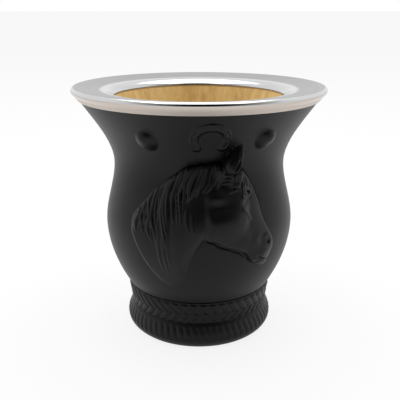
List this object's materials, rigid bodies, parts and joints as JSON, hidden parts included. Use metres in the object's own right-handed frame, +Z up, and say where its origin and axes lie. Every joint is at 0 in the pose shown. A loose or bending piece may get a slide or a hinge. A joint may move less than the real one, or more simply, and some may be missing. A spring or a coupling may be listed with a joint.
{
  "type": "mate cup",
  "caption": "Black plastic mate cup with a horse's head in relief, a turned wood liner and a spun aluminium rim collar, standing on a rope-ring foot.",
  "frame": {"origin": "middle of the foot, on the surface that the cup stands on", "axes": "+Z up along the cup's axis, -Y towards the front that carries the horse's head, +X to the right of someone facing that front"},
  "size_m": [0.0916, 0.0916, 0.0925],
  "materials": {
    "shell_plastic": "matt black, moulded",
    "liner_wood": "turned, bare",
    "collar_metal": "spun, brushed outside and polished at the mouth",
    "seal_rubber": "matt",
    "disc_plastic": "matt black"
  },
  "bodies": {
    "root": {"outer_shell": "shell_plastic", "wood_liner": "liner_wood", "rim_collar": "collar_metal", "throat_seal": "seal_rubber", "base_disc": "disc_plastic"}
  },
  "joints": []
}
